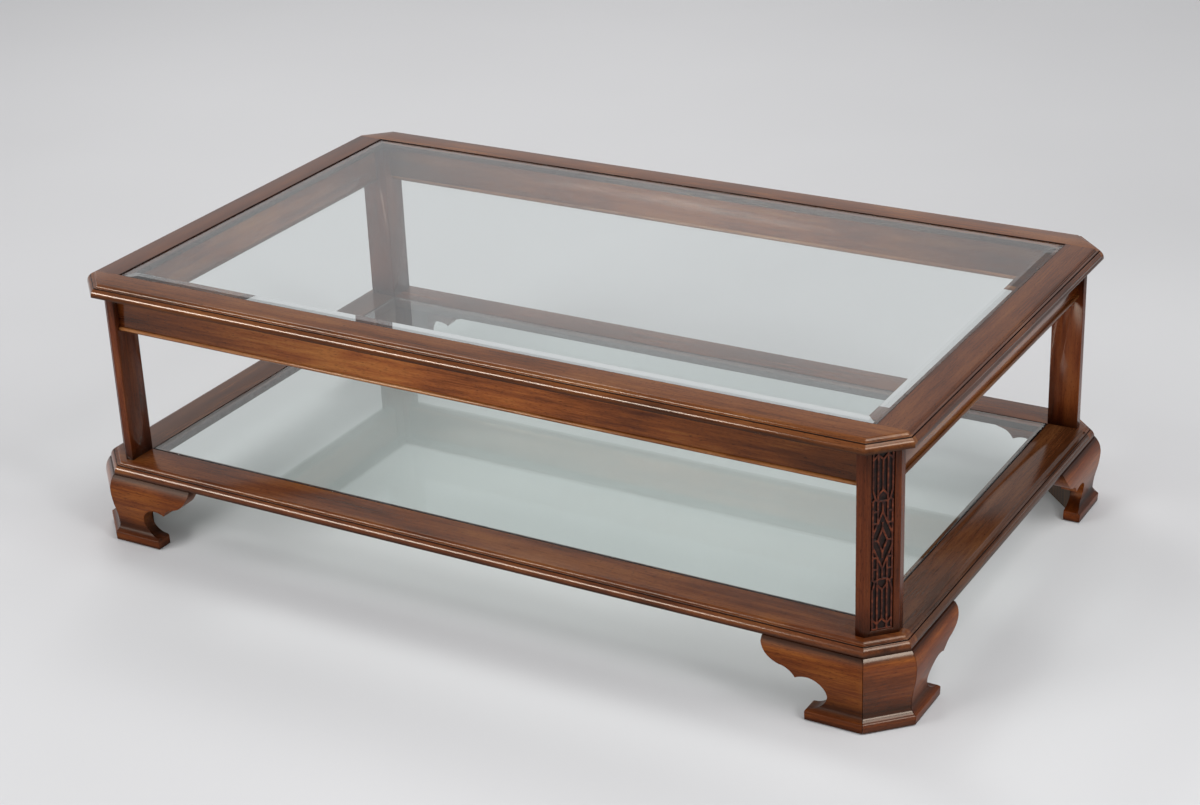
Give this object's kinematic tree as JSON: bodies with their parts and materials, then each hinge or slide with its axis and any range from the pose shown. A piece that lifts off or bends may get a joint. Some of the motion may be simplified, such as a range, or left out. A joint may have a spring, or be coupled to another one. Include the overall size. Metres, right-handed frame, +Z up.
{
  "type": "glass-topped display table",
  "caption": "Low rectangular display table with clipped corners: bevelled drop-in glass top, glass shelf below, square posts with fretwork panels, and scrolled ogee bracket feet.",
  "frame": {"origin": "on the floor under the middle of the table", "axes": "+X along the table, +Y from front to back, +Z up"},
  "size_m": [1.3818, 0.8348, 0.4254],
  "materials": {
    "mahogany_rails": "semi-gloss lacquer over stained mahogany",
    "mahogany_aprons": "semi-gloss lacquer over stained mahogany",
    "mahogany_posts": "semi-gloss lacquer over stained mahogany",
    "mahogany_feet": "semi-gloss lacquer over stained mahogany",
    "dark_fretwork": "dark stained, waxed recesses",
    "glue_block_pine": "plain, unpolished",
    "clear_glass": "polished, faint green edge",
    "clear_pad": "soft, frosted clear",
    "glide_steel": "nickel plated"
  },
  "bodies": {
    "frame": {"apron_back": "mahogany_aprons", "apron_bead_back": "mahogany_aprons", "apron_bead_front": "mahogany_aprons", "apron_bead_left": "mahogany_aprons", "apron_bead_right": "mahogany_aprons", "apron_front": "mahogany_aprons", "apron_left": "mahogany_aprons", "apron_right": "mahogany_aprons", "floor_glides": "glide_steel", "foot_bracket_long_back_left": "mahogany_feet", "foot_bracket_long_back_right": "mahogany_feet", "foot_bracket_long_front_left": "mahogany_feet", "foot_bracket_long_front_right": "mahogany_feet", "foot_bracket_short_back_left": "mahogany_feet", "foot_bracket_short_back_right": "mahogany_feet", "foot_bracket_short_front_left": "mahogany_feet", "foot_bracket_short_front_right": "mahogany_feet", "foot_clip_panel_back_left": "mahogany_feet", "foot_clip_panel_back_right": "mahogany_feet", "foot_clip_panel_front_left": "mahogany_feet", "foot_clip_panel_front_right": "mahogany_feet", "foot_glue_block_back_left": "glue_block_pine", "foot_glue_block_back_right": "glue_block_pine", "foot_glue_block_front_left": "glue_block_pine", "foot_glue_block_front_right": "glue_block_pine", "fret_panel_back_left": "dark_fretwork", "fret_panel_back_right": "dark_fretwork", "fret_panel_front_left": "dark_fretwork", "fret_panel_front_right": "dark_fretwork", "post_back_left": "mahogany_posts", "post_back_right": "mahogany_posts", "post_front_left": "mahogany_posts", "post_front_right": "mahogany_posts", "shelf_glass_pads": "clear_pad", "shelf_rail_back": "mahogany_rails", "shelf_rail_front": "mahogany_rails", "shelf_rail_left": "mahogany_rails", "shelf_rail_right": "mahogany_rails", "top_glass_pads": "clear_pad", "top_rail_back": "mahogany_rails", "top_rail_front": "mahogany_rails", "top_rail_left": "mahogany_rails", "top_rail_right": "mahogany_rails"},
    "top_pane": {"glass_top": "clear_glass"},
    "shelf_pane": {"glass_shelf": "clear_glass"}
  },
  "joints": [
    {"name": "top_pane_lift", "type": "slide", "parent": "frame", "child": "top_pane", "axis": [0, 0, 1], "range_m": [0, 0.12]},
    {"name": "shelf_pane_lift", "type": "slide", "parent": "frame", "child": "shelf_pane", "axis": [0, 0, 1], "range_m": [0, 0.28]}
  ]
}
